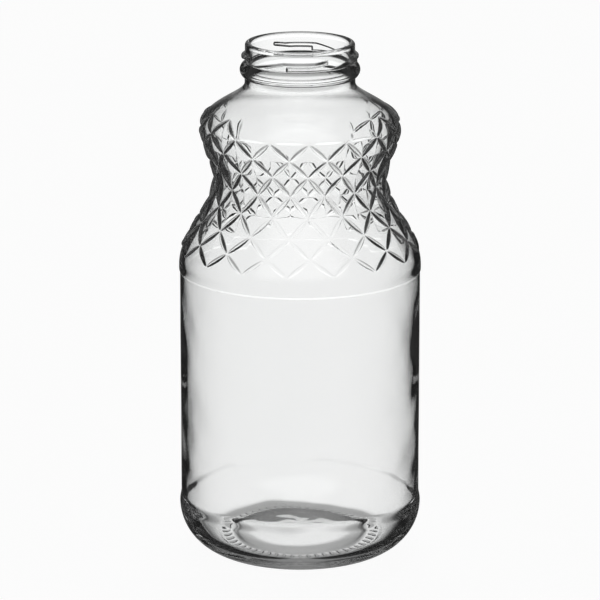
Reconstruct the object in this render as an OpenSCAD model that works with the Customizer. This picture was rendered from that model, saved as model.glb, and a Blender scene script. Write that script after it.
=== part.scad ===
// Glass milk bottle, one litre, with a diamond-quilted waist and a four-lug
// twist-off finish.  The bottle is one blown piece of glass; it is drawn here
// as the zones a glassmaker names, each a closed solid that meets the next
// one face to face.
//
// Frame: +Z up, origin on the resting plane at the centre of the base, -Y is
// the front.  Millimetres.

/* [Body] */
// Outer radius of the recessed label panel
panel_r = 48.4; // [47.5:0.1:48.6]
// How far the ledge above the panel and the heel stand proud of it
ledge_proud = 0.35; // [0.2:0.05:0.6]
// Outer radius at the narrowest part of the waist
waist_r = 34.6; // [33:0.1:36]
// Outer radius at the widest part of the upper bulb
bulb_r = 39.7; // [38.5:0.1:40.5]
// Glass thickness of the body wall
wall_t = 2.7; // [2.2:0.1:3.2]

/* [Quilting] */
// Number of diamonds round the waist
diamonds = 16; // [12:2:20]
// Height of the ribs between the diamonds
rib_h = 0.75; // [0.2:0.05:0.8]
// Half width of a rib at its middle
rib_w = 0.8; // [0.5:0.1:1.0]
// Depth of the hollow in each diamond
hollow_d = 0.4; // [0.1:0.05:0.5]

/* [Finish] */
// Radius of the mouth bore
mouth_r = 19.6; // [19:0.1:20]
// Outer radius of the finish wall behind the lugs
finish_r = 21.95; // [21.7:0.05:22.05]
// Outer radius over the lugs
lug_r = 23.4; // [22.8:0.1:23.6]
// Outer radius of the transfer bead
bead_r = 24.05; // [23.5:0.05:24.5]
// Radius of the neck under the bead
neck_r = 22.1; // [22:0.05:22.3]

/* [Base] */
// Height of the push-up in the middle of the base
push_up = 4.5; // [3:0.5:5.5]
// Thickness of the glass in the middle of the base
base_t = 4; // [3.6:0.2:5.6]
// Number of knurls on the bearing ring
knurls = 60; // [40:4:72]
// Height of the knurls
knurl_h = 0.3; // [0.2:0.05:0.5]

/* [Hidden] */

// zone boundaries along Z
z_cup = 12;          // base cup / heel band
z_heel = 23.5;       // heel band / label panel
z_panel = 116.5;     // label panel / lower shoulder
z_quilt0 = 124.5;    // lower shoulder / lower quilting
z_quilt1 = 184;      // upper quilting / upper shoulder
z_neck0 = 193.6;     // upper shoulder / neck
z_neck1 = 195.8;     // neck / transfer bead
z_bead = 198.9;      // widest part of the bead
z_finish = 202;      // transfer bead / thread wall
z_lip = 208.6;       // thread wall / sealing lip
z_top = 210;         // top of the lip

// stations of the profile
z_sh = 119;          // the shoulder starts to curve in
z_waist = 155;       // narrowest
z_bulb = 175.2;      // widest part of the bulb
heel_rad = 20.5;     // heel radius
heel_cz = 20;        // height of the heel radius' centre
land_r0 = 29;        // inner edge of the bearing land
ledge_r = panel_r + ledge_proud;
heel_r = panel_r + ledge_proud + 0.25;
heel_cr = heel_r - heel_rad;

// raised cosine from 1 at t = 0 to 0 at t = 1
function rc(t) = (1 + cos(180 * min(1, max(0, t)))) / 2;
function mix(a, b, t) = a + (b - a) * t;

// outer radius of the smooth body from the panel ledge to the neck
function r_out(z) =
    z <= z_sh ? ledge_r :
    z <= z_waist ? waist_r + (ledge_r - waist_r) * rc((z - z_sh) / (z_waist - z_sh)) :
    z <= z_bulb ? bulb_r - (bulb_r - waist_r) * rc((z - z_waist) / (z_bulb - z_waist)) :
    z <= z_neck0 ? neck_r + (bulb_r - neck_r)
        * rc(pow((z - z_bulb) / (z_neck0 - z_bulb), 1.34)) :
    neck_r;
// glass thickness above the panel
function t_wall(z) =
    z < z_waist ? mix(wall_t, wall_t + 0.5, (z - z_sh) / (z_waist - z_sh)) :
    z < z_bulb ? mix(wall_t + 0.5, wall_t, (z - z_waist) / (z_bulb - z_waist)) :
    wall_t;
function r_in(z) =
    z <= z_sh ? panel_r - wall_t :
    max(mouth_r, r_out(z) - t_wall(z));
// outer radius of the heel radius at height z
function heel_out(z) = z >= heel_cz ? heel_r
    : heel_cr + sqrt(heel_rad * heel_rad - pow(heel_cz - z, 2));
// inner radius of the heel: the wall thickens down into the corner, a quarter
// of an ellipse in_a wide and in_b high that meets the inner wall
in_a = 12.5;
in_b = 18;
in_cz = z_heel;
function heel_in(z) = z >= in_cz ? panel_r - wall_t
    : panel_r - wall_t - in_a + in_a * sqrt(1 - pow((in_cz - z) / in_b, 2));

// list of heights from a to b in n steps
function zs(a, b, n) = [for (i = [0:n]) mix(a, b, i / n)];

glass = [0.86, 0.93, 0.92, 0.45];

// ---------------------------------------------------------------- base ----

// short radial bars on the bearing ring: the bottle stands on them
module bearing_knurls() {
    color(glass)
    for (i = [0:knurls - 1])
        rotate([0, 0, i * 360 / knurls])
            translate([29.8, -0.65, 0]) cube([3.8, 1.3, knurl_h]);
}

// push-up base with its bearing land and the lower half of the heel radius
module base_cup() {
    land_r1 = heel_cr + sqrt(heel_rad * heel_rad - pow(heel_cz - knurl_h, 2));
    floor_z = knurl_h + push_up + base_t;
    in_r0 = panel_r - wall_t - in_a;
    in_z0 = in_cz - in_b;
    color(glass)
    rotate_extrude($fn = 128)
        polygon(concat(
            // underside: dome of the push-up, its skirt and the land
            [for (r = [0:3:24]) [r, knurl_h + push_up - (push_up - 2.6) * pow(r / 24, 2)]],
            [[26.5, knurl_h + 1.5], [28.2, knurl_h + 0.4], [land_r0, knurl_h], [land_r1, knurl_h]],
            // heel radius
            [for (z = [0.6, 1, 1.6, 2.4, 3.4, 4.6, 6, 7.6, 9.4, z_cup]) [heel_out(z), z]],
            // inner corner and the floor
            [for (z = [z_cup, 10.3, 8.8, 7.4, 6.4, 5.8]) [heel_in(z), z]],
            [for (i = [0:9]) let (r = in_r0 * (1 - i / 9))
                [r, floor_z + (in_z0 - floor_z) * pow(r / in_r0, 2)]]
        ));
}

// upper half of the heel, to the step under the label panel
module heel_band() {
    color(glass)
    rotate_extrude($fn = 128)
        polygon(concat(
            [for (z = [z_cup, 13, 14.5, 16, 18, heel_cz]) [heel_out(z), z]],
            [[heel_r, z_heel - 1.1], [heel_r - 0.15, z_heel - 0.6],
             [panel_r + 0.1, z_heel - 0.1], [panel_r, z_heel]],
            [for (z = [z_heel, 22, 20, 18, 16, 14, z_cup]) [heel_in(z), z]]
        ));
}

// ---------------------------------------------------------------- body ----

// plain cylinder that takes the label
module label_panel() {
    color(glass)
    difference() {
        translate([0, 0, z_heel]) cylinder(r = panel_r, h = z_panel - z_heel, $fn = 128);
        translate([0, 0, z_heel - 1])
            cylinder(r = panel_r - wall_t, h = z_panel - z_heel + 2, $fn = 128);
    }
}

// smooth band over the label panel, up to the tips of the diamonds
module lower_shoulder() {
    color(glass)
    rotate_extrude($fn = 128)
        polygon(concat(
            [[panel_r, z_panel], [panel_r + 0.08, z_panel + 0.15],
             [ledge_r - 0.05, z_panel + 0.7], [ledge_r, z_panel + 1]],
            [for (z = zs(z_sh, z_quilt0, 5)) [r_out(z), z]],
            [for (z = zs(z_quilt0, z_sh, 3)) [r_in(z), z]],
            [[r_in(z_panel), z_panel]]
        ));
}

// heights of the rows of lattice points, one arc length apart
rows = [125, 131.6, 138.7, 146.5, 154.5, 162.5, 169.7, 176.7, 183.2];
q_turn = -6.25;      // angle of the first lattice point from the front
q_waist = 4;         // row at the waist, where lower and upper quilting meet

// a lattice point or any point between: p counts half diamonds round the
// body, q counts rows, dr is added to the smooth radius
function row_z(q) = let (i = min(len(rows) - 2, max(0, floor(q))))
    mix(rows[i], rows[i + 1], q - i);
function on_body(p, q, dr) =
    let (z = row_z(q), a = q_turn + p * 180 / diamonds, r = r_out(z) + dr)
    [r * sin(a), -r * cos(a), z];
function on_ring(a, r, z) = [r * sin(a), -r * cos(a), z];
// turn from the middle of the front to point p of a row, 0 to 180
function turn_of(p) =
    let (a = q_turn + p * 180 / diamonds - 3) abs(a - 360 * round(a / 360));
// the net leaves a plain shield high on the front and a taller one on the
// back: 0 on a shield, 1 elsewhere
function relief(p, q) = let (f = turn_of(p))
    (q > 6.9 && f < 46) || (q > 3.9 && f > 140) || (q > 5.9 && f > 131) ? 0 : 1;
// share of the full rib height: the ribs are highest round the sides and on
// the bulb, lowest low on the front and the back
function rise(p, q) = let (f = turn_of(p), side = (min(f, 180 - f) - 15) / 28, up = (q - 2.8) / 1.6)
    0.5 + 0.5 * min(1, max(0, side, 0.75 * min(1, up)));

// quilting from row q0 to row q1, with the smooth inside wall through the
// heights iz: a net of spindle-shaped ribs and a shallow four-sided hollow in
// each diamond.  Each square of the index grid holds one rib along one of its
// diagonals, so the whole net is one loop over squares.
module quilting(q0, q1, iz) {
    np = 2 * diamonds;
    nb = len(rows) - 1;
    foot = q0 == 0;            // ends on the plain circle under the quilting
    head = q1 == nb;           // ends on the plain circle over the quilting
    no = 4 * np;               // points on the end circles, outside
    ni = 2 * np;               // points on the circles inside
    nz = len(iz);
    d = rib_w / 11;            // rib half width in index units
    ts = [0.3, 0.7];

    // corners of the squares
    corners = [for (q = [q0:q1]) for (p = [0:np - 1])
        on_body(p, q, (p + q) % 2 == 0 || q == 0 || q == nb ? 0 : -hollow_d * relief(p, q))];
    // rib points of each square: crest, one foot, other foot
    ribs = [for (q = [q0:q1 - 1]) for (p = [0:np - 1])
        let (s = (p + q) % 2 == 0 ? 1 : -1, p0 = s > 0 ? p : p + 1,
             e = relief(p + 0.5, q + 0.5), h = rib_h * rise(p + 0.5, q + 0.5))
        for (k = [[0, 0], [1, 1], [-1, 1]]) for (t = ts)
            on_body(p0 + s * t + s * k[0] * d, q + t - k[0] * d,
                    e * (k[1] == 0 ? h : -0.05))];
    ring0 = foot ? [for (i = [0:no - 1]) on_ring(q_turn + i * 360 / no, r_out(iz[0]), iz[0])] : [];
    ring1 = head ? [for (i = [0:no - 1])
        on_ring(q_turn + i * 360 / no, r_out(iz[nz - 1]), iz[nz - 1])] : [];
    inner = [for (z = iz) for (i = [0:ni - 1]) on_ring(q_turn + i * 360 / ni, r_in(z), z)];

    b_rib = len(corners);
    b_r0 = b_rib + len(ribs);
    b_r1 = b_r0 + len(ring0);
    b_in = b_r1 + len(ring1);

    function c(q, p) = (q - q0) * np + (p + np) % np;
    function rb(q, p, k) = b_rib + 6 * ((q - q0) * np + p) + k;
    function o0(i) = b_r0 + (i + no) % no;
    function o1(i) = b_r1 + (i + no) % no;
    function n(j, i) = b_in + j * ni + (i + ni) % ni;
    function turn(f) = [f[0], f[2], f[1]];

    // one square: v0-v1 is the rib, a and b the corners beside it
    function square(q, p) =
        let (up = (p + q) % 2 == 0,
             v0 = up ? c(q, p) : c(q, p + 1),
             v1 = up ? c(q + 1, p + 1) : c(q + 1, p),
             a = up ? c(q, p + 1) : c(q, p),         // foot side +1
             b = up ? c(q + 1, p) : c(q + 1, p + 1), // foot side -1
             c1 = rb(q, p, 0), c2 = rb(q, p, 1),
             f1 = rb(q, p, 2), f2 = rb(q, p, 3),
             g1 = rb(q, p, 4), g2 = rb(q, p, 5),
             fs = [[v0, f1, c1], [c1, f1, c2], [f1, f2, c2], [c2, f2, v1],
                   [v0, a, f1], [f1, a, f2], [f2, a, v1],
                   [v0, c1, g1], [c1, c2, g1], [g1, c2, g2], [c2, v1, g2],
                   [v0, g1, b], [g1, g2, b], [g2, v1, b]])
        up ? fs : [for (f = fs) turn(f)];

    // counter-clockwise seen from outside
    net = [for (q = [q0:q1 - 1]) for (p = [0:np - 1]) for (f = square(q, p)) f];
    inside = [for (j = [0:nz - 2]) for (i = [0:ni - 1]) for (f = [
        [n(j, i), n(j + 1, i), n(j, i + 1)],
        [n(j, i + 1), n(j + 1, i), n(j + 1, i + 1)]]) f];
    // lower end: fans down to the circle and its flat ring, or a flat ring
    // straight from the row of corners
    low = foot
        ? concat([for (p = [0:np - 1]) for (f = [
            [o0(4 * p), o0(4 * p + 1), c(q0, p)], [o0(4 * p + 1), o0(4 * p + 2), c(q0, p)],
            [o0(4 * p + 2), c(q0, p + 1), c(q0, p)],
            [o0(4 * p + 2), o0(4 * p + 3), c(q0, p + 1)],
            [o0(4 * p + 3), o0(4 * p + 4), c(q0, p + 1)]]) f],
          [for (i = [0:ni - 1]) for (f = [
            [n(0, i), o0(2 * i + 1), o0(2 * i)], [n(0, i), n(0, i + 1), o0(2 * i + 1)],
            [n(0, i + 1), o0(2 * i + 2), o0(2 * i + 1)]]) f])
        : [for (p = [0:np - 1]) for (f = [
            [n(0, 2 * p), n(0, 2 * p + 1), c(q0, p)],
            [n(0, 2 * p + 1), c(q0, p + 1), c(q0, p)],
            [n(0, 2 * p + 1), n(0, 2 * p + 2), c(q0, p + 1)]]) f];
    high = head
        ? concat([for (p = [0:np - 1]) for (f = [
            [o1(4 * p + 1), o1(4 * p), c(q1, p)], [o1(4 * p + 2), o1(4 * p + 1), c(q1, p)],
            [c(q1, p + 1), o1(4 * p + 2), c(q1, p)],
            [o1(4 * p + 3), o1(4 * p + 2), c(q1, p + 1)],
            [o1(4 * p + 4), o1(4 * p + 3), c(q1, p + 1)]]) f],
          [for (i = [0:ni - 1]) for (f = [
            [n(nz - 1, i), o1(2 * i), o1(2 * i + 1)],
            [n(nz - 1, i), o1(2 * i + 1), n(nz - 1, i + 1)],
            [n(nz - 1, i + 1), o1(2 * i + 1), o1(2 * i + 2)]]) f])
        : [for (p = [0:np - 1]) for (f = [
            [n(nz - 1, 2 * p), c(q1, p), n(nz - 1, 2 * p + 1)],
            [n(nz - 1, 2 * p + 1), c(q1, p), c(q1, p + 1)],
            [n(nz - 1, 2 * p + 1), c(q1, p + 1), n(nz - 1, 2 * p + 2)]]) f];

    polyhedron(points = concat(corners, ribs, ring0, ring1, inner),
               faces = [for (f = concat(net, inside, low, high)) turn(f)], convexity = 8);
}

// quilting from its lower tips up to the narrowest part of the waist
module lower_quilting() {
    color(glass) quilting(0, q_waist, zs(z_quilt0, rows[q_waist], 7));
}

// quilting from the waist up over the bulb
module upper_quilting() {
    color(glass) quilting(q_waist, len(rows) - 1, zs(rows[q_waist], z_quilt1, 7));
}

// smooth dome from the top of the quilting to the neck
module upper_shoulder() {
    n = 12;
    color(glass)
    rotate_extrude($fn = 128)
        polygon(concat(
            [for (z = zs(z_quilt1, z_neck0, n)) [r_out(z), z]],
            [for (z = zs(z_neck0, z_quilt1, n)) [r_in(z), z]]
        ));
}

// -------------------------------------------------------------- finish ----

// tube with a plain bore, from z0 to z1
module tube(ro, ri, z0, z1) {
    difference() {
        translate([0, 0, z0]) cylinder(r = ro, h = z1 - z0, $fn = 96);
        translate([0, 0, z0 - 1]) cylinder(r = ri, h = z1 - z0 + 2, $fn = 96);
    }
}

// short straight neck under the bead
module neck_ring() {
    color(glass) tube(neck_r, mouth_r, z_neck0, z_neck1);
}

// bead that the tongs hold while the finish cools
module transfer_bead() {
    color(glass)
    difference() {
        rotate_extrude($fn = 96)
            polygon(concat([[0, z_neck1]],
                [for (z = zs(z_neck1, z_finish, 12))
                    [neck_r + (bead_r - neck_r) * rc(abs(z - z_bead) / 3.1), z]],
                [[0, z_finish]]));
        translate([0, 0, z_neck1 - 1]) cylinder(r = mouth_r, h = z_finish - z_neck1 + 2, $fn = 96);
    }
}

// plain wall behind the lugs
module thread_wall() {
    color(glass) tube(finish_r, mouth_r, z_finish, z_lip);
}

// height of a lug's top and bottom edge, u degrees on from its tip
function lug_top(u) = u < 15 ? mix(206.4, 205.6, u / 15)
    : u < 48 ? 205.6
    : mix(205.6, 202.5, (u - 48) / 40);
function lug_bot(u) = u < 24 ? mix(205.7, 203.3, u / 24)
    : u < 44 ? 203.3 : z_finish;

// section of a lug at u: inner bottom, outer bottom, outer top, inner top
function lug_sec(u) =
    let (e = min(1, u / 5, (88 - u) / 4), ro = finish_r + (lug_r - finish_r) * (0.35 + 0.65 * e),
         zt = lug_top(u), zb = min(lug_bot(u), zt - 0.3),
         s = u >= 44 ? 0 : 0.3)
    [[finish_r - 0.8, zb - (u >= 44 ? 0 : 0.15)], [ro, zb + s], [ro, zt - 0.3],
     [finish_r - 0.8, zt + 0.1]];

// one lug: a bar that rises to its tip and a stop block down to the bead
module lug(tip) {
    us = [0, 2, 5, 10, 15, 20, 24, 30, 36, 43.9, 44, 50, 56, 62, 68, 74, 80, 84, 88];
    n = len(us);
    pts = [for (u = us) for (s = lug_sec(u)) on_ring(tip - u, s[0], s[1])];
    // counter-clockwise seen from outside
    sides = [for (i = [0:n - 2]) for (k = [0:3]) let (k1 = (k + 1) % 4)
        for (f = [[4 * i + k, 4 * i + k1, 4 * i + 4 + k],
                  [4 * i + k1, 4 * i + 4 + k1, 4 * i + 4 + k]]) f];
    ends = [[0, 2, 1], [0, 3, 2],
            [4 * n - 4, 4 * n - 3, 4 * n - 2], [4 * n - 4, 4 * n - 2, 4 * n - 1]];
    polyhedron(points = pts, faces = concat(sides, ends), convexity = 4);
}

// four lugs, a quarter turn apart
module thread_lugs() {
    color(glass)
    difference() {
        for (k = [0:3]) lug(30.6 + 90 * k);
        translate([0, 0, z_finish - 3]) cylinder(r = finish_r, h = 12, $fn = 96);
    }
}

// rounded lip with the flat land that the closure seals on
module sealing_lip() {
    ro = 0.9;
    ri = 0.8;
    color(glass)
    rotate_extrude($fn = 96)
        polygon(concat(
            [[finish_r, z_lip]],
            [for (a = [0:15:90]) [finish_r - ro + ro * cos(a), z_top - ro + ro * sin(a)]],
            [for (a = [90:15:180]) [mouth_r + ri + ri * cos(a), z_top - ri + ri * sin(a)]],
            [[mouth_r, z_lip]]
        ));
}

bearing_knurls();
base_cup();
heel_band();
label_panel();
lower_shoulder();
lower_quilting();
upper_quilting();
upper_shoulder();
neck_ring();
transfer_bead();
thread_wall();
thread_lugs();
sealing_lip();
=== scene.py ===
import math

import bpy
import numpy as np
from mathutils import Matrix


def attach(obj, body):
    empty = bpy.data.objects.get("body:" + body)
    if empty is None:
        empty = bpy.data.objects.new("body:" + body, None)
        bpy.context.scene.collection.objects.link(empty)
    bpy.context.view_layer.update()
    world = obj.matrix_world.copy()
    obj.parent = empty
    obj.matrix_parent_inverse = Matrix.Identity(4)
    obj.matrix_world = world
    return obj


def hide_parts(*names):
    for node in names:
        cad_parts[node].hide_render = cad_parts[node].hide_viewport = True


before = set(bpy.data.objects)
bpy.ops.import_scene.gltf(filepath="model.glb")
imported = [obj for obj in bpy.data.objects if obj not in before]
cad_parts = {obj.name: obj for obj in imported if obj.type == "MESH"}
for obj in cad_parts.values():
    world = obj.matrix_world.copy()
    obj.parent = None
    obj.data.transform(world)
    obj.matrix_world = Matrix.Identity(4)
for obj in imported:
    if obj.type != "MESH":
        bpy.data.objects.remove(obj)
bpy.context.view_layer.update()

MM = 0.001
NC = 960                      # columns of the fine surface grid
PI = math.pi

# ------------------------------------------------------------------ camera ----

scene = bpy.context.scene
cam_data = bpy.data.cameras.new("camera")
cam = bpy.data.objects.new("camera", cam_data)
scene.collection.objects.link(cam)
cam_data.sensor_width = 36.0
cam_data.lens = 252.35
cam_data.clip_start = 0.05
cam_data.clip_end = 60.0
cam_data.dof.use_dof = False
LOOK_Z, DIST, PITCH = 0.1036, 1.700, math.radians(15.0)
cam.location = (0.0, -DIST * math.cos(PITCH), LOOK_Z + DIST * math.sin(PITCH))
cam.rotation_euler = (PI / 2 - PITCH, 0.0, 0.0)
scene.camera = cam

# -------------------------------------------------------- bottle's measures ----
# the same numbers as the CAD part, in millimetres

PANEL_R, LEDGE_R, HEEL_R = 48.4, 48.75, 49.0
WAIST_R, BULB_R, NECK_R = 34.6, 39.7, 22.1
MOUTH_R, FINISH_R, LUG_R, BEAD_R = 19.6, 21.95, 23.4, 24.05
Z_CUP, Z_HEEL, Z_PANEL, Z_Q0, Z_QW, Z_Q1 = 12.0, 23.5, 116.5, 124.5, 154.5, 184.0
Z_N0, Z_N1, Z_BEAD, Z_FIN, Z_LIP, Z_TOP = 193.6, 195.8, 198.9, 202.0, 208.6, 210.0
Z_SH, Z_WAIST, Z_BULB = 119.0, 155.0, 175.2
HEEL_RAD, HEEL_CZ, HEEL_CR = 20.5, 20.0, 28.5
WALL = 2.15
IN_A, IN_B, IN_CZ, FLOOR_Z = 12.5, 18.0, 23.5, 8.8      # inner corner of the heel, top of the floor
ROWS = np.array([125, 131.6, 138.7, 146.5, 154.5, 162.5, 169.7, 176.7, 183.2])
DIAMONDS, Q_TURN = 16, -6.25


def rc(t):
    return (1 + np.cos(PI * np.clip(t, 0, 1))) / 2


def smooth(t):
    t = np.clip(t, 0, 1)
    return t * t * (3 - 2 * t)


def r_out(z):
    z = np.asarray(z, float)
    a = np.full_like(z, LEDGE_R)
    a = np.where(z > Z_SH, WAIST_R + (LEDGE_R - WAIST_R) * rc((z - Z_SH) / (Z_WAIST - Z_SH)), a)
    a = np.where(z > Z_WAIST, BULB_R - (BULB_R - WAIST_R) * rc((z - Z_WAIST) / (Z_BULB - Z_WAIST)), a)
    t = np.clip((z - Z_BULB) / (Z_N0 - Z_BULB), 0, 1)
    a = np.where(z > Z_BULB, NECK_R + (BULB_R - NECK_R) * rc(t ** 1.34), a)
    return np.where(z > Z_N0, NECK_R, a)


def outer_r(z):
    """Outer radius of the plain profile from the heel to the lip's foot."""
    z = np.asarray(z, float)
    heel = HEEL_CR + np.sqrt(np.maximum(HEEL_RAD ** 2 - np.maximum(HEEL_CZ - z, 0) ** 2, 0))
    heel = np.where(z > 19.8, PANEL_R + (HEEL_R - PANEL_R) * rc((z - 19.8) / 5.0), heel)
    a = np.where(z < 24.8, heel, PANEL_R)
    a = np.where(z > Z_PANEL, LEDGE_R - (LEDGE_R - PANEL_R) * rc((z - Z_PANEL) / 1.0), a)
    a = np.where(z > Z_SH, r_out(z), a)
    a = np.where((z > Z_N1) & (z <= Z_FIN), NECK_R + (BEAD_R - NECK_R)
                 * np.clip(1 - (np.abs(z - Z_BEAD) / 3.1) ** 2, 0, 1) ** 0.8, a)
    a = np.where(z > Z_FIN, FINISH_R + (NECK_R - FINISH_R) * rc((z - Z_FIN) / 0.9), a)
    return a


# inner radius, with the joins between its stretches eased over about 1.5 mm
_zz = np.arange(12.0, 210.01, 0.1)


def _inner_raw(z):
    t = np.where(z < Z_WAIST, WALL + 0.1 * np.clip((z - Z_SH) / (Z_WAIST - Z_SH), 0, 1),
                 WALL + 0.1 * np.clip(1 - (z - Z_WAIST) / (Z_BULB - Z_WAIST), 0, 1))
    a = np.where(z <= Z_SH, PANEL_R - WALL, np.maximum(MOUTH_R, r_out(z) - t))
    corner = PANEL_R - WALL - IN_A + IN_A * np.sqrt(1 - (np.clip(IN_CZ - z, 0, IN_B) / IN_B) ** 2)
    return np.where(z < IN_CZ, corner, a)


_k = np.exp(-0.5 * (np.arange(-40, 41) / 13.0) ** 2)
_k /= _k.sum()
_raw = _inner_raw(_zz)
_sm = np.convolve(np.pad(_raw, 40, mode="edge"), _k, mode="valid")
_w = smooth((_zz - 100) / 8) * (1 - smooth((_zz - 204) / 3))
_inner = _raw * (1 - _w) + _sm * _w


def inner_r(z):
    return np.interp(z, _zz, _inner)


# ------------------------------------------------------------- unevenness ----

rng = np.random.default_rng(481)


def waves(n, k_lo, k_hi, l_lo, l_hi):
    """Seeded smooth noise on (angle, height): n waves with whole numbers of
    turns k round the bottle and wavelengths l, in mm, along it. RMS is 1."""
    k = rng.integers(k_lo, k_hi + 1, n)
    l = np.exp(rng.uniform(math.log(l_lo), math.log(l_hi), n)) * rng.choice([-1, 1], n)
    ph = rng.uniform(0, 2 * PI, n)
    am = rng.uniform(0.6, 1.0, n)
    am /= math.sqrt((am ** 2).sum() / 2)

    def f(th, s):
        out = 0.0
        for kk, ll, pp, aa in zip(k, l, ph, am):
            out = out + aa * np.cos(kk * th + 2 * PI * s / ll + pp)
        return out
    return f


w_long = waves(9, 1, 3, 60, 200)
w_mid = waves(14, 3, 9, 25, 80)
w_short = waves(16, 8, 22, 16, 50)
w_outer = waves(12, 2, 9, 20, 90)
w_floor = waves(12, 2, 7, 12, 40)

# ---------------------------------------------------------------- relief ----

TH = np.arange(NC) * 2 * PI / NC           # angle from the front, to +X


def quilt_relief(z):
    """Radial relief of the quilting on rows z by the NC columns, in mm."""
    q = np.interp(z, ROWS, np.arange(9.0))[:, None]
    inside = ((z >= ROWS[0] - 1.0) & (z <= ROWS[-1] + 1.0))[:, None]
    p = (np.degrees(TH)[None, :] - Q_TURN) * DIAMONDS / 180.0
    q = np.clip(q, 0, 8 - 1e-9)
    p = p + 0 * q
    q = q + 0 * p
    pf, qf = np.floor(p), np.floor(q)
    u, v = p - pf, q - qf
    up = ((pf + qf) % 2) == 0
    # along the rib and across it, in mm
    t = np.where(up, (u + v) / 2, (1 - u + v) / 2)
    rad = r_out(z)[:, None]
    dp = rad * PI / DIAMONDS
    i = np.clip(qf.astype(int), 0, 7)
    dz = (ROWS[1:] - ROWS[:-1])[i]
    slope = (np.interp(z + 0.1, _zz, r_out(_zz)) - np.interp(z - 0.1, _zz, r_out(_zz)))[:, None] / 0.2
    dz = dz * np.sqrt(1 + slope ** 2)
    off = np.where(up, u - v, u + v - 1)
    across = off * dp * dz / np.hypot(dp, dz)
    lens = np.clip(1 - ((t - 0.5) / 0.485) ** 2, 0, 1)
    half = RIB_W * lens ** 0.75 + 1e-6
    x = np.abs(across) / half
    # a ridge with straight flanks, its crest and its feet a little eased
    rib = RIB_H * lens ** 0.6 * ridge(x)
    # shallow four-sided hollow round each odd lattice point
    du = np.where(up, np.minimum(u, 1 - u), 0)
    a = np.where(up, np.where(u > v, 1 - u, u), np.where(u + v < 1, u, 1 - u))
    b = np.where(up, np.where(u > v, v, 1 - v), np.where(u + v < 1, v, 1 - v))
    qo = np.where(up, np.where(u > v, qf, qf + 1), np.where(u + v < 1, qf, qf + 1))
    hollow = np.clip(1 - a - b, 0, 1)
    hollow = np.where((qo <= 0) | (qo >= 8), 0, hollow)
    out = (rib * rib_strength(q) - HOLLOW_D * hollow) * shield(q)
    return np.where(inside, out, 0.0)


RIB_H, RIB_W, HOLLOW_D = 0.82, 0.98, 0.42


def ridge(x):
    """Cross-section of a rib: a round crest and steep flanks."""
    return np.clip(1 - np.clip(x, 0, 1) ** 1.8, 0, 1) ** 0.85


def from_front():
    """Degrees round from the middle of the front."""
    return np.abs((np.degrees(TH)[None, :] - 3.0 + 180) % 360 - 180)


def shield(q):
    """0 on the plain shields, one in place of the top row of diamonds on the
    front and a taller one on the back; 1 elsewhere."""
    f = from_front()
    front = smooth((q - 7.0) / 0.12) * (1 - smooth((f - 42) / 6))
    back = smooth((q - 3.6) / 0.5) * (1 - smooth((180 - f - 34) / 9))
    back = np.maximum(back, smooth((q - 5.8) / 0.4) * (1 - smooth((180 - f - 46) / 8)))
    return 1 - np.maximum(front, back)


def rib_strength(q):
    """The ribs stand highest round the sides and on the upper bulb, where the
    mould opens last, and are lowest low on the two faces."""
    f = from_front()
    d = np.minimum(f, 180 - f)
    side = smooth((d - 12) / 34)
    up = smooth((q - 2.6) / 1.6)
    return 0.5 + 0.5 * np.maximum(side, 0.55 * up)


def lug_top(u):
    return np.where(u < 15, 206.4 - 0.8 * u / 15, np.where(u < 48, 205.6, 205.6 - 3.1 * (u - 48) / 40))


def lug_bot(u):
    return np.where(u < 20, 204.4 - 1.1 * u / 20, np.where(u < 44, 203.3, 201.9))


def lug_relief(z):
    """Radial height of the four lugs over the thread wall."""
    deg = np.degrees(TH)[None, :]
    z = z[:, None]
    out = np.zeros((z.shape[0], NC))
    u = (30.6 - deg) % 90.0                 # degrees back from the nearest tip
    r = FINISH_R * PI / 180
    zt = lug_top(u)
    zb = lug_bot(u)
    # the stop block's end face
    top = smooth((zt - z) / 0.85)
    bot = smooth((z - zb) / 0.85)
    blk = np.where(u >= 44, smooth((z - Z_FIN) / 0.5), bot)
    step = smooth((u - 43.2) * r / 0.45)
    low = bot * (1 - step) + smooth((z - Z_FIN) / 0.5) * step
    ends = smooth(u * r / 0.9) * smooth((88.0 - u) * r / 0.9)
    taper = 0.45 + 0.55 * smooth(u / 9.0)
    taper = taper * np.where(u > 60, 1 - 0.35 * smooth((u - 60) / 28), 1)
    h = (LUG_R - FINISH_R) * top * low * ends * taper
    h = np.where(u < 88.0, h, 0)
    return np.where(h > 1e-4, h, 0.0)


def knurl_relief(r):
    """Depth of the crescent knurls under the bearing land, at radii r."""
    r = r[:, None]
    k = 60
    cell = 2 * PI / k
    phi = (TH[None, :] + cell / 2) % cell - cell / 2
    rho = (r - 31.75) / 1.95
    bend = 0.45 * (1 - rho ** 2)
    tau = r * phi - bend + 0.2
    half = 0.8 * np.sqrt(np.clip(1 - rho ** 2, 0, 1)) + 1e-6
    x = np.abs(tau) / half
    h = 0.3 * np.clip(1 - x ** 2, 0, 1) ** 0.7 * smooth((1 - np.abs(rho)) / 0.25)
    return np.where((np.abs(rho) < 1) & (h > 2e-3), h, 0.0)


# ------------------------------------------------------- rows of the grid ----
# one path from the middle of the underside, out and up over the lip, and down
# the inside to the middle of the floor; each zone is a stretch of its rows

def steps(a, b, d):
    n = max(1, int(round(abs(b - a) / d)))
    return np.linspace(a, b, n + 1)


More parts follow.
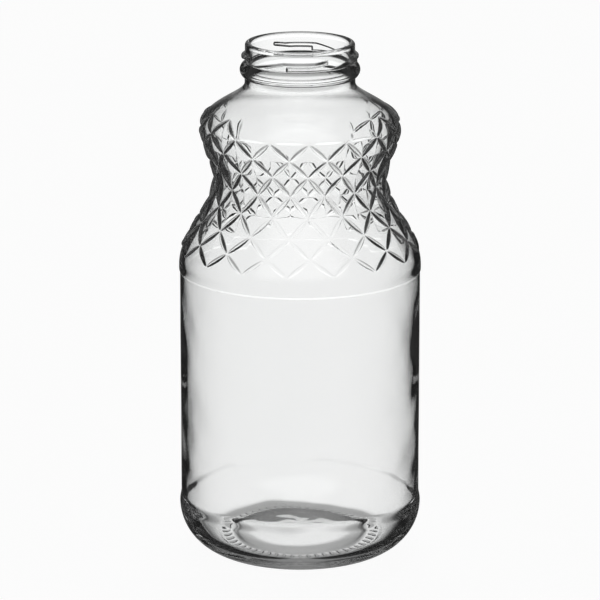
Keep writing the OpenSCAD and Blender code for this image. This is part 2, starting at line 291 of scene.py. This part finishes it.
def ease(pts, d, sig):
    """Polyline eased and resampled every d mm, with its ends kept."""
    pts = np.array(pts, float)
    s = np.concatenate([[0], np.cumsum(np.hypot(*np.diff(pts, axis=0).T))])
    fine = np.linspace(0, s[-1], int(s[-1] / 0.05) + 1)
    f = np.stack([np.interp(fine, s, pts[:, 0]), np.interp(fine, s, pts[:, 1])], 1)
    m = int(3 * sig / 0.05)
    k = np.exp(-0.5 * (np.arange(-m, m + 1) * 0.05 / sig) ** 2)
    k /= k.sum()
    lo, hi = 2 * f[0] - f[1:m + 1][::-1], 2 * f[-1] - f[-m - 1:-1][::-1]
    ext = np.concatenate([lo, f, hi])
    g = np.stack([np.convolve(ext[:, c], k, mode="valid") for c in (0, 1)], 1)
    n = int(round(s[-1] / d))
    t = np.linspace(0, s[-1], n + 1)
    return np.stack([np.interp(t, fine, g[:, 0]), np.interp(t, fine, g[:, 1])], 1)


path, marks = [], {}


def add(name, rz):
    rz = np.asarray(rz, float)
    if path and np.hypot(*(path[-1] - rz[0])) < 1e-6:
        rz = rz[1:]
        marks[name] = [len(path) - 1, 0]
    else:
        marks[name] = [max(len(path) - 1, 0), 0]
    path.extend(rz)
    marks[name][1] = len(path) - 1


def wall(zs_):
    return np.stack([outer_r(zs_), zs_], 1)


def iwall(zs_):
    return np.stack([inner_r(zs_), zs_], 1)


# underside: dome of the push-up, its skirt, the land
PUSH = 4.5
dome = [[r, 0.3 + PUSH - (PUSH - 2.6) * (r / 24.0) ** 2] for r in np.linspace(0, 24, 25)]
skirt = dome + [[26.5, 1.8], [28.2, 0.7], [29.0, 0.36], [29.6, 0.3], [33.9, 0.3]]
a0 = math.asin((0.3 - HEEL_CZ) / HEEL_RAD)
heel_arc = [[HEEL_CR + HEEL_RAD * math.cos(a), HEEL_CZ + HEEL_RAD * math.sin(a)]
            for a in np.linspace(a0, math.asin((Z_CUP - HEEL_CZ) / HEEL_RAD), 40)]
und = ease(skirt + heel_arc[:6], 0.28, 0.45)
und[0] = [0.4, und[0][1]]
und[:, 1] = np.where((und[:, 0] > 29.7) & (und[:, 0] < 33.6), 0.3, und[:, 1])
und[:, 1] = np.maximum(und[:, 1], 0.3)
coarse = und[und[:, 0] < 27.5][::4]
und = np.concatenate([coarse, und[und[:, 0] >= 27.5]])
rest_arc = np.array(heel_arc[6:])
n_arc = steps(0, 1, 1 / 24)
s_arc = np.linspace(0, 1, len(rest_arc))
rest = np.stack([np.interp(n_arc, s_arc, rest_arc[:, 0]), np.interp(n_arc, s_arc, rest_arc[:, 1])], 1)
keep = und[:, 1] < rest[0, 1] - 0.05
add("cup_out", np.concatenate([und[keep | (und[:, 0] < 31)], rest]))
add("heel_out", np.concatenate([wall(steps(Z_CUP, 19.2, 0.8))[:-1], wall(steps(19.2, Z_HEEL, 0.27))]))
add("panel_out", np.concatenate([wall(steps(Z_HEEL, 25.1, 0.27))[:-1], wall(steps(25.1, 116.1, 1.15))[:-1],
                                 wall(steps(116.1, Z_PANEL, 0.2))]))
add("shoulder_out", np.concatenate([wall(steps(Z_PANEL, 117.9, 0.14))[:-1], wall(steps(117.9, 123.6, 0.8))[:-1],
                                    wall(steps(123.6, Z_Q0, 0.3))]))
add("lowq_out", wall(steps(Z_Q0, Z_QW, 0.36)))
add("upq_out", wall(steps(Z_QW, Z_Q1, 0.36)))
add("upsh_out", wall(steps(Z_Q1, Z_N0, 0.5)))
add("neck_out", wall(steps(Z_N0, Z_N1, 0.22)))
add("bead_out", wall(steps(Z_N1, Z_FIN, 0.22)))
add("thread_out", wall(steps(Z_FIN, Z_LIP, 0.15)))
ro, ri = 1.22, 1.12
lip = [[FINISH_R, Z_LIP], [FINISH_R, Z_TOP - ro]]
lip += [[FINISH_R - ro + ro * math.cos(a), Z_TOP - ro + ro * math.sin(a)] for a in np.linspace(0, PI / 2, 14)[1:]]
lip += [[MOUTH_R + ri + ri * math.cos(a), Z_TOP - ri + ri * math.sin(a)] for a in np.linspace(PI / 2, PI, 14)]
lip += [[MOUTH_R, Z_LIP]]
lp = ease(lip, 0.13, 0.12)
add("lip", lp)
add("thread_in", iwall(steps(Z_LIP, Z_FIN, 0.9)))
add("bead_in", iwall(steps(Z_FIN, Z_N1, 0.9)))
add("neck_in", iwall(steps(Z_N1, Z_N0, 0.7)))
add("upsh_in", iwall(steps(Z_N0, Z_Q1, 0.6)))
add("upq_in", iwall(steps(Z_Q1, Z_QW, 0.9)))
add("lowq_in", iwall(steps(Z_QW, Z_Q0, 0.9)))
add("shoulder_in", iwall(steps(Z_Q0, Z_PANEL, 0.9)))
add("panel_in", iwall(steps(Z_PANEL, Z_HEEL, 1.15)))
add("heel_in", iwall(steps(Z_HEEL, Z_CUP, 0.8)))
ir = PANEL_R - WALL
corner = [[ir - IN_A + IN_A * math.cos(a), IN_CZ + IN_B * math.sin(a)]
          for a in np.linspace(math.asin((Z_CUP - IN_CZ) / IN_B), -1.36, 24)]
floor_pts = [[r, FLOOR_Z - (FLOOR_Z - IN_CZ + IN_B) * (r / (ir - IN_A)) ** 2]
             for r in np.linspace(ir - IN_A - 3.0, 0.4, 60)]
cup_in = ease(corner + floor_pts, 0.8, 1.1)
cup_in[0] = [float(inner_r(Z_CUP)), Z_CUP]
add("cup_in", cup_in)

path = np.array(path)
R0, Z0 = path[:, 0], path[:, 1]
NR = len(path)
arc_s = np.concatenate([[0], np.cumsum(np.hypot(np.diff(R0), np.diff(Z0)))])

# displacement of every grid point, along the radius and along Z
DR = np.zeros((NR, NC))
DZ = np.zeros((NR, NC))
LUG = np.zeros((NR, NC))
KNU = np.zeros((NR, NC))


def rows_of(*names):
    return slice(marks[names[0]][0], marks[names[-1]][1] + 1)


s = rows_of("lowq_out", "upq_out")
DR[s] += quilt_relief(Z0[s])
s = rows_of("thread_out")
LUG[s] = lug_relief(Z0[s])
s = rows_of("cup_out")
KNU[s] = knurl_relief(R0[s]) * ((Z0[s] < 0.32) & (R0[s] > 29))[:, None]

# the mould's side is nearly true, the blown side isn't
T2 = TH[None, :]
s = rows_of("heel_out", "thread_out")
z = Z0[s][:, None]
DR[s] += 0.012 * w_outer(T2, z) * smooth((z - 14) / 12) * (1 - smooth((z - 108) / 8))
s = rows_of("thread_in", "heel_in")
z = Z0[s][:, None]
amp = smooth((200 - z) / 20)
body = 1 - smooth((z - 112) / 22)
DR[s] += amp * ((0.08 + 0.12 * body) * w_long(T2, z) + (0.03 + 0.05 * body) * w_mid(T2, z)
                + (0.006 + 0.010 * body) * w_short(T2, z)) * smooth((z - 13) / 26)
s = rows_of("cup_in")
r = R0[s][:, None]
DZ[s] += 0.05 * w_floor(T2, r) * smooth((44 - r) / 12) * smooth(r / 14)

RU, ZU = R0[:, None] + DR, Z0[:, None] + DZ
RD, ZD = RU + LUG, ZU - KNU


def xyz(R, Z):
    return np.stack([R * np.sin(TH)[None, :], -R * np.cos(TH)[None, :], Z + 0 * R], -1) * MM


PD, PU = xyz(RD, ZD), xyz(RU, ZU)


def grid_normals(P):
    du = np.roll(P, -1, 1) - np.roll(P, 1, 1)
    dv = np.empty_like(P)
    dv[1:-1] = P[2:] - P[:-2]
    dv[0], dv[-1] = P[1] - P[0], P[-1] - P[-2]
    n = np.cross(du, dv)
    return n / np.maximum(np.linalg.norm(n, axis=-1, keepdims=True), 1e-30)


N = grid_normals(PD)

# ---------------------------------------------------------------- meshing ----


class Builder:
    """Collects vertices and faces of one closed piece."""

    def __init__(self):
        self.v, self.n, self.groups, self.count = [], [], [], 0

    def verts(self, p, n):
        p, n = p.reshape(-1, 3), n.reshape(-1, 3)
        self.v.append(p)
        self.n.append(n)
        first = self.count
        self.count += len(p)
        return first

    def faces(self, f, mat):
        f = np.asarray(f, np.int64)
        if len(f):
            self.groups.append((f, mat))

    def strip(self, a, b, stride, mat=0, pole0=False, pole1=False, mask=None):
        """Rows a to b of the grid, every stride-th column. mask marks the
        faces of the fine grid that take the internal material. Returns the
        index rows at its ends."""
        P, Q = PU[a:b + 1, ::stride], N[a:b + 1, ::stride]
        nr, nc = P.shape[:2]
        i0 = self.verts(P, Q)
        idx = i0 + np.arange(nr * nc).reshape(nr, nc)
        nx = np.roll(idx, -1, 1)
        q = np.stack([idx[:-1], nx[:-1], nx[1:], idx[1:]], -1)
        if mask is None:
            self.faces(q.reshape(-1, 4), mat)
        else:
            m = mask[a:b]
            self.faces(q[~m], 0)
            self.faces(q[m], 1)
        if pole0:
            c = self.verts(np.array([[0, 0, P[0, :, 2].mean()]]), np.array([[0, 0, N[a, 0, 2]]]))
            self.faces(np.stack([np.full(nc, c), nx[0], idx[0]], -1), 0)
        if pole1:
            c = self.verts(np.array([[0, 0, P[-1, :, 2].mean()]]), np.array([[0, 0, 1.0]]))
            self.faces(np.stack([idx[-1], nx[-1], np.full(nc, c)], -1), 0)
        return idx[0], idx[-1]

    def cap(self, ring_a, ring_b):
        """Flat ring from ring_a to ring_b, in the order of the path."""
        na, nb = len(ring_a), len(ring_b)
        if na >= nb:
            k = na // nb
            cols = [ring_a[(np.arange(nb) * k + j) % na] for j in range(k + 1)]
            f = np.stack(cols + [np.roll(ring_b, -1), ring_b], -1)
        else:
            k = nb // na
            cols = [ring_b[(np.arange(na) * k + j) % nb] for j in range(k, -1, -1)]
            f = np.stack([ring_a, np.roll(ring_a, -1)] + cols, -1)
        self.faces(f, 1)

    def build(self, name, mats):
        me = bpy.data.meshes.new(name)
        v = np.concatenate(self.v)
        n = np.concatenate(self.n)
        me.vertices.add(len(v))
        me.vertices.foreach_set("co", v.astype(np.float32).ravel())
        loops = np.concatenate([f.ravel() for f, _ in self.groups])
        sizes = np.concatenate([np.full(len(f), f.shape[1]) for f, _ in self.groups])
        mat = np.concatenate([np.full(len(f), m) for f, m in self.groups])
        me.loops.add(len(loops))
        me.loops.foreach_set("vertex_index", loops.astype(np.int32))
        me.polygons.add(len(sizes))
        starts = np.concatenate([[0], np.cumsum(sizes)[:-1]])
        me.polygons.foreach_set("loop_start", starts.astype(np.int32))
        for m in mats:
            me.materials.append(m)
        me.update(calc_edges=True)
        me.polygons.foreach_set("material_index", mat.astype(np.int32))
        me.polygons.foreach_set("use_smooth", np.ones(len(sizes), bool))
        me.normals_split_custom_set_from_vertices(n.astype(np.float32))
        ob = bpy.data.objects.new(name, me)
        scene.collection.objects.link(ob)
        return ob


def relief_piece(name, H, a, b, mats):
    """The raised faces of H over rows a to b, closed by the plain surface
    under them."""
    hit = H[a:b + 1] > 0
    face = hit[:-1] | hit[1:] | np.roll(hit, -1, 1)[:-1] | np.roll(hit, -1, 1)[1:]
    full = np.zeros((NR, NC), bool)
    full[a:b] = face
    nr = b - a + 1
    ids = np.arange(nr * NC).reshape(nr, NC)
    nx = np.roll(ids, -1, 1)
    quads = np.stack([ids[:-1], nx[:-1], nx[1:], ids[1:]], -1)[face]
    used = np.unique(quads)
    top = np.full(nr * NC, -1)
    top[used] = np.arange(len(used))
    raised = used[H[a:b + 1].ravel()[used] > 0]
    low = top.copy()
    low[raised] = len(used) + np.arange(len(raised))
    bd = Builder()
    bd.verts(PD[a:b + 1].reshape(-1, 3)[used], N[a:b + 1].reshape(-1, 3)[used])
    bd.verts(PU[a:b + 1].reshape(-1, 3)[raised], N[a:b + 1].reshape(-1, 3)[raised])
    bd.faces(top[quads], 0)
    # a face with no raised vertex would lie on its own underside
    bd.faces(low[quads][:, ::-1], 1)
    return bd.build(name, mats), full


# --------------------------------------------------------------- materials ----

def new_mat(name):
    m = bpy.data.materials.new(name)
    m.use_nodes = True
    m.node_tree.nodes.clear()
    return m, m.node_tree.nodes, m.node_tree.links


def glass_material():
    m, nodes, links = new_mat("flint_glass_clear")
    out = nodes.new("ShaderNodeOutputMaterial")
    p = nodes.new("ShaderNodeBsdfPrincipled")
    p.inputs["Transmission Weight"].default_value = 1.0
    p.inputs["IOR"].default_value = 1.51
    p.inputs["Metallic"].default_value = 0.0
    p.inputs["Specular IOR Level"].default_value = 0.5
    co = nodes.new("ShaderNodeTexCoord")
    # faint grey-green of soda-lime glass, a little stronger in cords of the melt
    cord = nodes.new("ShaderNodeTexNoise")
    cord.inputs["Scale"].default_value = 26.0
    cord.inputs["Detail"].default_value = 3.0
    mp = nodes.new("ShaderNodeMapping")
    mp.inputs["Scale"].default_value = (1.0, 1.0, 0.25)
    links.new(co.outputs["Object"], mp.inputs["Vector"])
    links.new(mp.outputs["Vector"], cord.inputs["Vector"])
    ramp = nodes.new("ShaderNodeValToRGB")
    ramp.color_ramp.elements[0].position = 0.3
    ramp.color_ramp.elements[0].color = (0.985, 0.990, 0.988, 1)
    ramp.color_ramp.elements[1].position = 0.7
    ramp.color_ramp.elements[1].color = (0.997, 0.999, 0.998, 1)
    links.new(cord.outputs["Fac"], ramp.inputs["Fac"])
    links.new(ramp.outputs["Color"], p.inputs["Base Color"])
    # handling haze, near zero
    haze = nodes.new("ShaderNodeTexNoise")
    haze.inputs["Scale"].default_value = 60.0
    haze.inputs["Detail"].default_value = 4.0
    links.new(co.outputs["Object"], haze.inputs["Vector"])
    mr = nodes.new("ShaderNodeMapRange")
    mr.inputs["From Min"].default_value = 0.35
    mr.inputs["From Max"].default_value = 0.8
    mr.inputs["To Min"].default_value = 0.004
    mr.inputs["To Max"].default_value = 0.02
    links.new(haze.outputs["Fac"], mr.inputs["Value"])
    links.new(mr.outputs["Result"], p.inputs["Roughness"])
    # mould-skin ripple
    rip = nodes.new("ShaderNodeTexNoise")
    rip.inputs["Scale"].default_value = 130.0
    rip.inputs["Detail"].default_value = 2.0
    links.new(mp.outputs["Vector"], rip.inputs["Vector"])
    bump = nodes.new("ShaderNodeBump")
    bump.inputs["Strength"].default_value = 0.35
    bump.inputs["Distance"].default_value = 0.00006
    links.new(rip.outputs["Fac"], bump.inputs["Height"])
    links.new(bump.outputs["Normal"], p.inputs["Normal"])
    links.new(p.outputs["BSDF"], out.inputs["Surface"])
    return m


def join_material():
    m, nodes, links = new_mat("inside_the_glass")
    out = nodes.new("ShaderNodeOutputMaterial")
    t = nodes.new("ShaderNodeBsdfTransparent")
    links.new(t.outputs["BSDF"], out.inputs["Surface"])
    return m


GLASS, JOIN = glass_material(), join_material()
MATS = [GLASS, JOIN]

lugs, lug_mask = relief_piece("thread_lugs_glass", LUG, *marks["thread_out"], MATS)
knurls, knurl_mask = relief_piece("bearing_knurls_glass", KNU, *marks["cup_out"], MATS)


def finish_piece(ob, node):
    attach(ob, "root")
    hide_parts(node)
    return ob


finish_piece(lugs, "thread_lugs")
finish_piece(knurls, "bearing_knurls")

FINE, HALF = 1, 2

bd = Builder()
_, o1 = bd.strip(*marks["cup_out"], FINE, pole0=True, mask=knurl_mask)
i0, _ = bd.strip(*marks["cup_in"], HALF, pole1=True)
bd.cap(o1, i0)
finish_piece(bd.build("base_cup_glass", MATS), "base_cup")


def shell(node, out_mark, in_mark, so, si, mask=None):
    b = Builder()
    o0, o1 = b.strip(*marks[out_mark], so, mask=mask)
    i0, i1 = b.strip(*marks[in_mark], si)
    b.cap(o1, i0)
    b.cap(i1, o0)
    return finish_piece(b.build(node + "_glass", MATS), node)


shell("heel_band", "heel_out", "heel_in", FINE, HALF)
shell("label_panel", "panel_out", "panel_in", HALF, HALF)
shell("lower_shoulder", "shoulder_out", "shoulder_in", FINE, HALF)
shell("lower_quilting", "lowq_out", "lowq_in", FINE, HALF)
shell("upper_quilting", "upq_out", "upq_in", FINE, HALF)
shell("upper_shoulder", "upsh_out", "upsh_in", FINE, HALF)
shell("neck_ring", "neck_out", "neck_in", FINE, HALF)
shell("transfer_bead", "bead_out", "bead_in", FINE, HALF)
shell("thread_wall", "thread_out", "thread_in", FINE, HALF, mask=lug_mask)

bd = Builder()
l0, l1 = bd.strip(*marks["lip"], FINE)
bd.cap(l1, l0)
finish_piece(bd.build("sealing_lip_glass", MATS), "sealing_lip")

# ------------------------------------------------------- floor and light ----

FLOOR_GLOW, FLOOR_TONE = 0.96, 0.12
fm, nodes, links = new_mat("pale_floor")
out = nodes.new("ShaderNodeOutputMaterial")
dif = nodes.new("ShaderNodeBsdfDiffuse")
dif.inputs["Color"].default_value = (FLOOR_TONE, FLOOR_TONE, FLOOR_TONE, 1)
em = nodes.new("ShaderNodeEmission")
em.inputs["Strength"].default_value = FLOOR_GLOW
sh = nodes.new("ShaderNodeAddShader")
links.new(dif.outputs["BSDF"], sh.inputs[0])
links.new(em.outputs["Emission"], sh.inputs[1])
links.new(sh.outputs["Shader"], out.inputs["Surface"])
me = bpy.data.meshes.new("floor")
h = 9.0
me.from_pydata([(-h, -h, 0), (h, -h, 0), (h, h, 0), (-h, h, 0)], [], [(0, 1, 2, 3)])
me.materials.append(fm)
floor = bpy.data.objects.new("floor", me)
scene.collection.objects.link(floor)
floor.location = (0, 0, -0.0002)
floor.visible_transmission = False
floor.visible_glossy = False
floor.visible_diffuse = False

# soft screens round the bottle with dark gaps between them
world = bpy.data.worlds.new("studio")
scene.world = world
world.use_nodes = True
nt = world.node_tree
nt.nodes.clear()
L = nt.links


def mth(op, a, b=None, c=None):
    n = nt.nodes.new("ShaderNodeMath")
    n.operation = op
    for i, x in enumerate((a, b, c)):
        if x is None:
            continue
        if isinstance(x, (int, float)):
            n.inputs[i].default_value = x
        else:
            L.new(x, n.inputs[i])
    return n.outputs[0]


def ramp_smooth(x, a, b, lo=0.0, hi=1.0):
    n = nt.nodes.new("ShaderNodeMapRange")
    n.interpolation_type = "SMOOTHSTEP"
    n.clamp = True
    L.new(x, n.inputs["Value"])
    n.inputs["From Min"].default_value = a
    n.inputs["From Max"].default_value = b
    n.inputs["To Min"].default_value = lo
    n.inputs["To Max"].default_value = hi
    return n.outputs["Result"]


tc = nt.nodes.new("ShaderNodeTexCoord")
sep = nt.nodes.new("ShaderNodeSeparateXYZ")
L.new(tc.outputs["Generated"], sep.inputs[0])
az = mth("ARCTAN2", sep.outputs["Y"], sep.outputs["X"])
azd = mth("MULTIPLY", az, 180 / PI)
el = mth("MULTIPLY", mth("ARCSINE", sep.outputs["Z"]), 180 / PI)
lp_ = nt.nodes.new("ShaderNodeLightPath")


def off_from(deg):
    """Degrees round from a heading."""
    return mth("ABSOLUTE", mth("WRAP", mth("SUBTRACT", azd, deg), 180.0, -180.0))


def curve(x, span, stops):
    n = nt.nodes.new("ShaderNodeValToRGB")
    n.color_ramp.interpolation = "EASE"
    while len(n.color_ramp.elements) < len(stops):
        n.color_ramp.elements.new(0.5)
    for e_, (p_, v_) in zip(n.color_ramp.elements, stops):
        e_.position = p_ / span
        e_.color = (v_, v_, v_, 1)
    L.new(mth("DIVIDE", x, span), n.inputs["Fac"])
    return mth("MULTIPLY", n.outputs["Color"], 1.0)


# the big screen behind, running down onto the table; a little brighter above
# and below its middle
screen = curve(off_from(90.0), 90.0, [(0, 1.0), (6, 1.0), (13, 0.94), (18, 0.80), (23, 0.40), (28, 0.03),
                                       (62, 0.03), (90, 0.01)])
dip = mth("MULTIPLY", mth("MULTIPLY", ramp_smooth(el, -33.0, -26.0), ramp_smooth(el, -5.0, -10.5)), 0.24)
lit = mth("MULTIPLY", mth("SUBTRACT", 1.54, dip), ramp_smooth(el, -34.0, -23.5, 0.45, 1.0))
screen = mth("MULTIPLY", mth("MULTIPLY", screen, lit), ramp_smooth(el, 24.0, 10.0, 0.03, 1.0))
# smaller screens for the other sides
left = mth("MULTIPLY", curve(off_from(135.0), 60.0, [(0, 1.0), (12, 0.96), (17, 0.7), (24, 0.0)]),
           mth("MULTIPLY", ramp_smooth(el, -19.5, -22.0), ramp_smooth(el, -52.0, -40.0)))
side = mth("MULTIPLY", curve(off_from(180.0), 60.0, [(0, 1.0), (12, 0.95), (20, 0.7), (28, 0.0)]),
           mth("MULTIPLY", ramp_smooth(el, -10.5, -7.5), ramp_smooth(el, 18.0, 6.0)))
back = mth("MULTIPLY", curve(off_from(-45.0), 60.0, [(0, 1.0), (12, 0.93), (20, 0.75), (30, 0.0)]),
           mth("MULTIPLY", ramp_smooth(el, -50.0, -36.0), ramp_smooth(el, 20.0, 6.0)))
# low strips level with the finish
strips = mth("MULTIPLY", curve(off_from(90.0), 120.0, [(0, 0.0), (42, 0.0), (54, 0.55), (84, 0.55), (100, 0.0)]),
             mth("MULTIPLY", ramp_smooth(el, -12.7, -11.8), ramp_smooth(el, -7.5, -9.5)))
box = mth("MAXIMUM", mth("MAXIMUM", screen, strips),
          mth("MULTIPLY", mth("MAXIMUM", left, mth("MAXIMUM", side, back)), 1.28))
# the upper part of the sweep, over the big screen
sky = curve(off_from(90.0), 90.0, [(0, 1.0), (16, 1.0), (40, 0.04), (90, 0.04)])
table = ramp_smooth(el, -52.0, -66.0, 0.0, 0.85)
through = mth("MAXIMUM", box, mth("MAXIMUM", table, mth("MULTIPLY", ramp_smooth(el, 20.0, 34.0, 0.0, 0.85), sky)))
# what the glass mirrors is darker: black cards stand beside the screens
over = mth("MULTIPLY", mth("MULTIPLY", ramp_smooth(el, 12.0, 26.0), sky), 0.25)
key = curve(off_from(-90.0), 90.0, [(0, 1.0), (34, 1.0), (58, 0.03), (90, 0.03)])
over = mth("MAXIMUM", over, mth("MULTIPLY", mth("MULTIPLY", ramp_smooth(el, 8.0, 22.0), key), 0.9))
cards = curve(off_from(90.0), 180.0, [(0, 0.40), (7, 0.40), (17, 0.03), (36, 0.025), (46, 0.06), (66, 0.06),
                                       (80, 0.03), (180, 0.02)])
mirrored = mth("ADD", mth("MULTIPLY", cards, ramp_smooth(el, 26.0, 12.0, 0.1, 1.0)), over)
refl = mth("MINIMUM", lp_.outputs["Glossy Depth"], 1.0)
val = mth("ADD", mth("MULTIPLY", through, mth("SUBTRACT", 1.0, refl)), mth("MULTIPLY", mirrored, refl))
bg = nt.nodes.new("ShaderNodeBackground")
L.new(val, bg.inputs["Strength"])
white = nt.nodes.new("ShaderNodeBackground")
white.inputs["Color"].default_value = (1.0, 1.0, 1.0, 1.0)
white.inputs["Strength"].default_value = 0.98
mixw = nt.nodes.new("ShaderNodeMixShader")
L.new(lp_.outputs["Is Camera Ray"], mixw.inputs["Fac"])
L.new(bg.outputs[0], mixw.inputs[1])
L.new(white.outputs[0], mixw.inputs[2])
wout = nt.nodes.new("ShaderNodeOutputWorld")
L.new(mixw.outputs[0], wout.inputs["Surface"])

scene.view_settings.view_transform = "Standard"
scene.view_settings.look = "None"
scene.view_settings.gamma = 0.82
if hasattr(scene, "cycles"):
    scene.cycles.max_bounces = 90
    scene.cycles.transmission_bounces = 90
    scene.cycles.glossy_bounces = 90
    scene.cycles.diffuse_bounces = 2
    scene.cycles.transparent_max_bounces = 90
    scene.cycles.caustics_reflective = True
    scene.cycles.caustics_refractive = True
